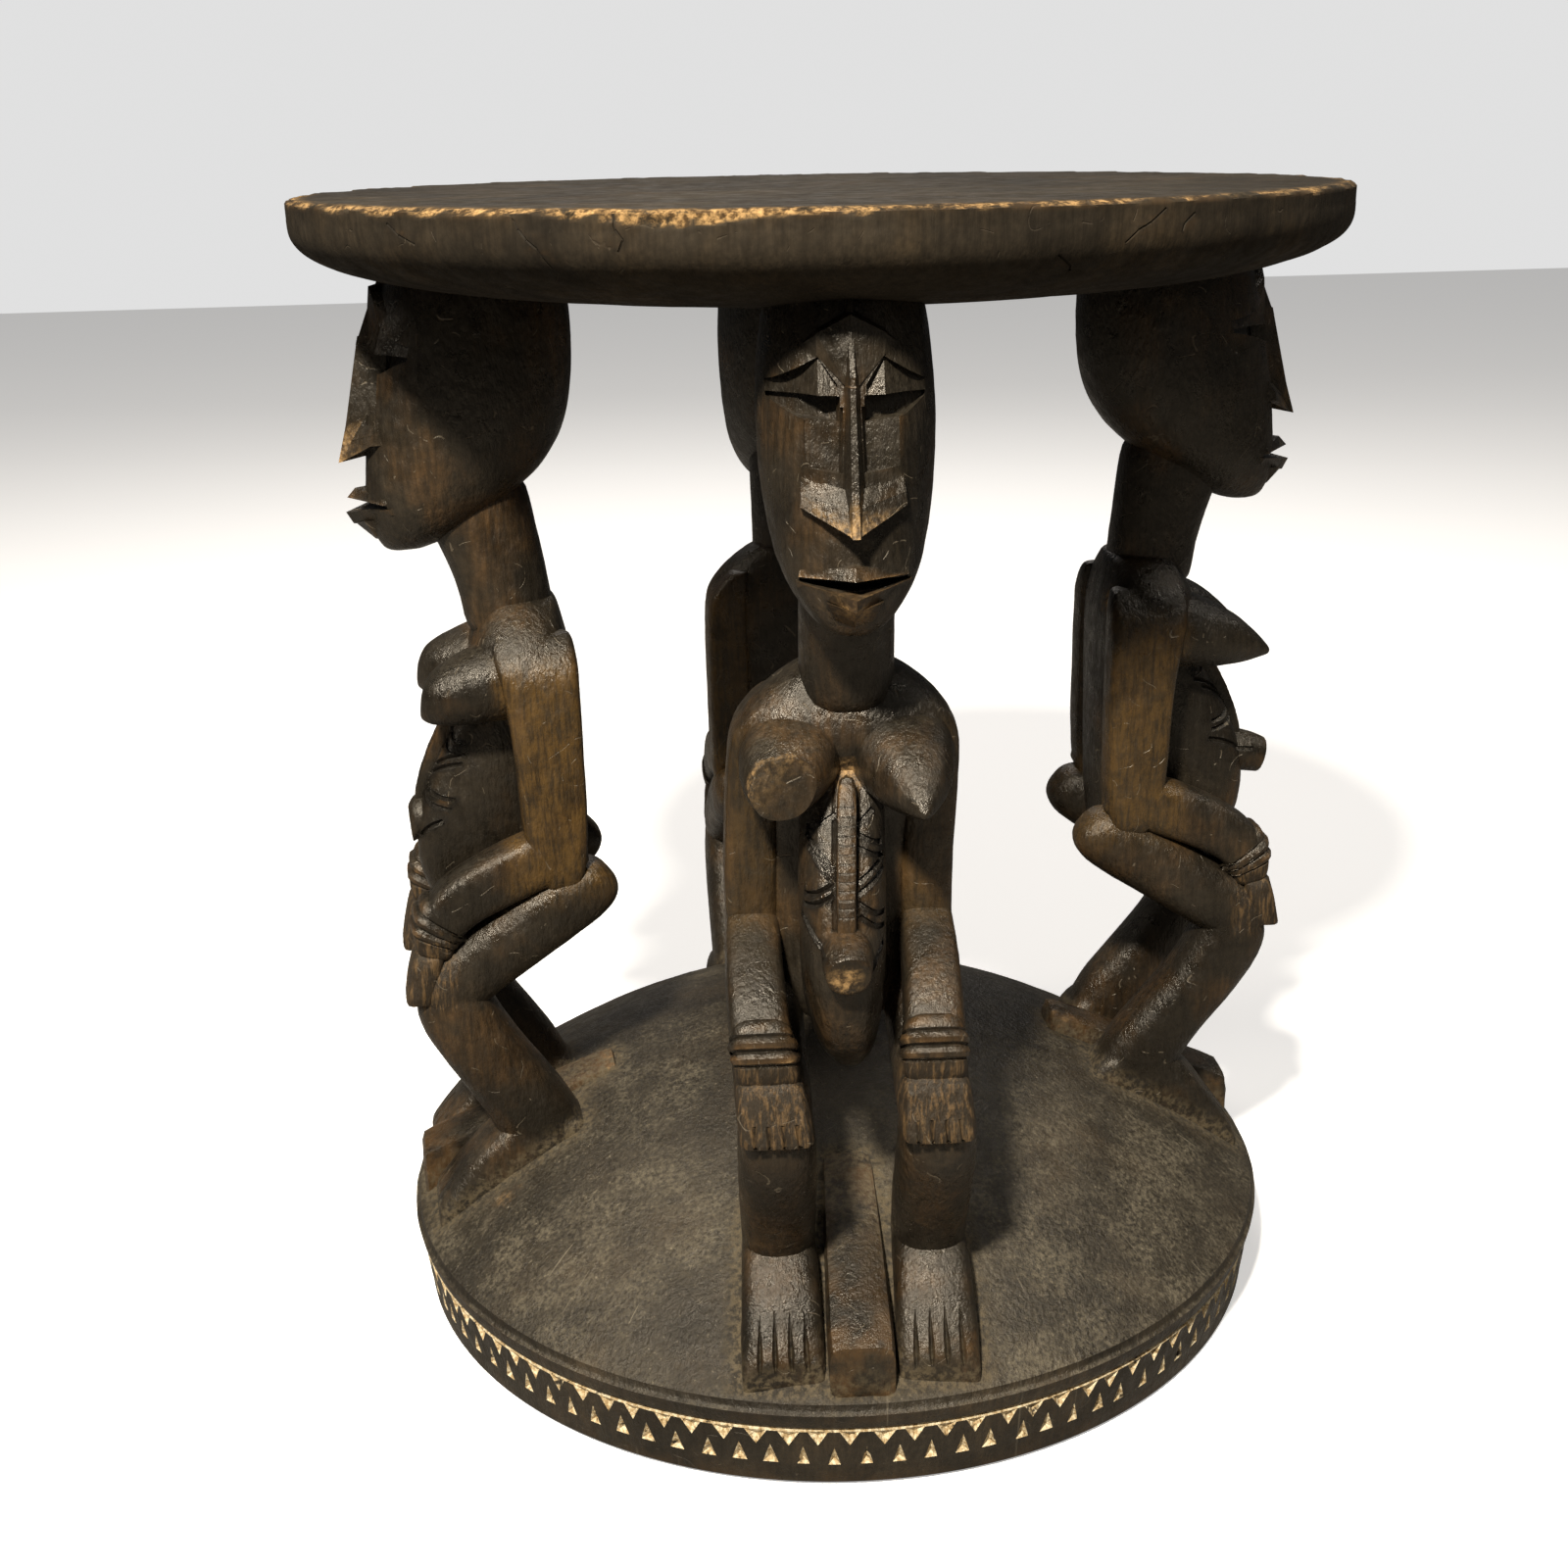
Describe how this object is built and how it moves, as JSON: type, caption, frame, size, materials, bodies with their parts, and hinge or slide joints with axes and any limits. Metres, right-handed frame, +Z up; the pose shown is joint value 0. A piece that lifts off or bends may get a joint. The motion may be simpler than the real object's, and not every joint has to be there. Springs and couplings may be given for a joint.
{
  "type": "carved side table",
  "caption": "Round carved wooden side table: a shallow dished top carried on the heads of crouching women who stand on a domed base with a notched rim.",
  "frame": {"origin": "on the floor, under the middle of the round base", "axes": "+Z up; -Y is the way the front woman faces; +X to her left hand, the viewer's right"},
  "size_m": [0.464, 0.464, 0.53],
  "materials": {
    "dark_wood": "dark stained, hand worn satin with bare brown wood on edges and dust on the base"
  },
  "bodies": {
    "root": {"carved_table": "dark_wood"}
  },
  "joints": []
}
